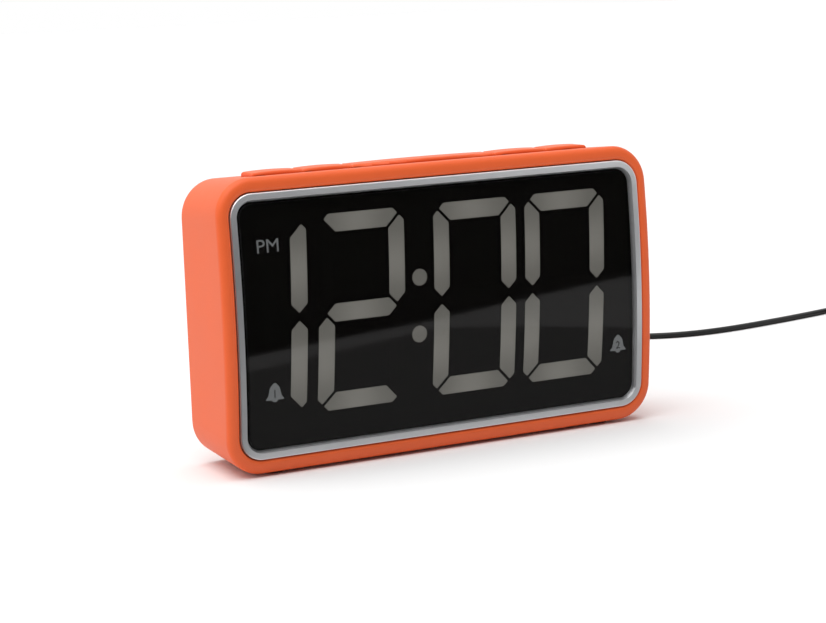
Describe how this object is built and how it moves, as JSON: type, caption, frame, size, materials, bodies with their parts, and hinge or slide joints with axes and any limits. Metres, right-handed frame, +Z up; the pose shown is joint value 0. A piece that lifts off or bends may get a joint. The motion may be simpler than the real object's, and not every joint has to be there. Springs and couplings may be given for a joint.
{
  "type": "alarm clock",
  "caption": "Bedside digital alarm clock: orange case, silver trim round a smoked lens with seven-segment figures, top keys, snooze bar, rear battery door and power lead.",
  "frame": {"origin": "on the resting surface, under the middle of the clock without its lead", "axes": "+Z up, +X to the viewer's right, the display looks towards -Y"},
  "size_m": [0.4784, 0.1807, 0.1155],
  "materials": {
    "case_orange": "satin orange moulded plastic, soft-touch",
    "cover_orange": "fine-textured orange moulded plastic",
    "key_orange": "satin orange moulded plastic",
    "foot_rubber": "matt black rubber",
    "trim_silver": "satin silver paint on moulded plastic",
    "lens_smoked": "polished smoked clear plastic",
    "mask_black": "matt black reflector block",
    "diffuser": "frosted warm white light bars",
    "diffuser_dim": "frosted warm white dots",
    "diffuser_dark": "unlit bars, dark behind the smoked lens",
    "board_green": "green solder mask on glass-fibre board",
    "led_white": "moulded light chip",
    "screw_steel": "zinc-plated steel",
    "switch_black": "black moulded plastic",
    "chip_black": "black moulding compound",
    "can_steel": "drawn steel can",
    "capacitor_black": "shrink sleeve over aluminium can",
    "cell_wrap": "printed cell jacket",
    "contact_nickel": "nickel-plated contact metal",
    "buzzer_black": "black moulded case",
    "jack_black": "black moulded plastic",
    "knob_black": "black moulded plastic",
    "ribbon_grey": "grey flat cable",
    "plug_black": "black moulded soft plastic",
    "cord_black": "black cord jacket",
    "shell_nickel": "nickel-plated steel shell",
    "tongue_white": "white insulator",
    "stem_black": "black switch stem"
  },
  "bodies": {
    "case": {"backup_batteries": "cell_wrap", "battery_contacts": "contact_nickel", "board_screws": "screw_steel", "button_board": "board_green", "button_cable": "ribbon_grey", "buzzer": "buzzer_black", "capacitors": "capacitor_black", "case_screws": "screw_steel", "clock_chip": "chip_black", "colon_dots": "diffuser_dim", "cord_coil": "cord_black", "cord_lead": "cord_black", "crystal": "can_steel", "dc_jack": "jack_black", "dc_plug": "plug_black", "dimmer_switch": "switch_black", "display_board": "board_green", "display_cable": "ribbon_grey", "display_leds": "led_white", "display_lens": "lens_smoked", "display_screws": "screw_steel", "driver_chips": "chip_black", "front_case": "case_orange", "hour_tens_segments": "diffuser", "hour_units_segments": "diffuser", "main_board": "board_green", "minute_tens_segments": "diffuser", "minute_units_segments": "diffuser", "plug_barrel": "contact_nickel", "rear_cover": "cover_orange", "rubber_feet": "foot_rubber", "segment_mask": "mask_black", "tact_switches": "switch_black", "trim_ring": "trim_silver", "unlit_segments": "diffuser_dark", "usb_plug_grip": "plug_black", "usb_plug_shell": "shell_nickel", "usb_plug_tongue": "tongue_white"},
    "dimmer": {"dimmer_knob": "knob_black"},
    "door": {"battery_door": "cover_orange"},
    "alarm_1_key": {"alarm_1_button": "key_orange", "alarm_1_switch_stem": "stem_black"},
    "alarm_2_key": {"alarm_2_button": "key_orange", "alarm_2_switch_stem": "stem_black"},
    "snooze_key": {"snooze_bar": "key_orange", "snooze_switch_stem": "stem_black"},
    "hour_key": {"hour_button": "key_orange", "hour_switch_stem": "stem_black"},
    "minute_key": {"minute_button": "key_orange", "minute_switch_stem": "stem_black"}
  },
  "joints": [
    {"name": "alarm_1_press", "type": "slide", "parent": "case", "child": "alarm_1_key", "axis": [0, 0, -1], "range_m": [0, 0.0008], "stiffness_N_per_m": 1500},
    {"name": "alarm_2_press", "type": "slide", "parent": "case", "child": "alarm_2_key", "axis": [0, 0, -1], "range_m": [0, 0.0008], "stiffness_N_per_m": 1500},
    {"name": "snooze_press", "type": "slide", "parent": "case", "child": "snooze_key", "axis": [0, 0, -1], "range_m": [0, 0.0008], "stiffness_N_per_m": 1500},
    {"name": "hour_press", "type": "slide", "parent": "case", "child": "hour_key", "axis": [0, 0, -1], "range_m": [0, 0.0008], "stiffness_N_per_m": 1500},
    {"name": "minute_press", "type": "slide", "parent": "case", "child": "minute_key", "axis": [0, 0, -1], "range_m": [0, 0.0008], "stiffness_N_per_m": 1500},
    {"name": "dimmer_slide", "type": "slide", "parent": "case", "child": "dimmer", "axis": [1, 0, 0], "range_m": [0, 0.003]},
    {"name": "battery_door_tilt", "type": "hinge", "parent": "case", "child": "door", "pos_m": [-0.042, 0.02115, 0.02385], "axis": [-1, 0, 0], "range_deg": [0, 70]}
  ]
}
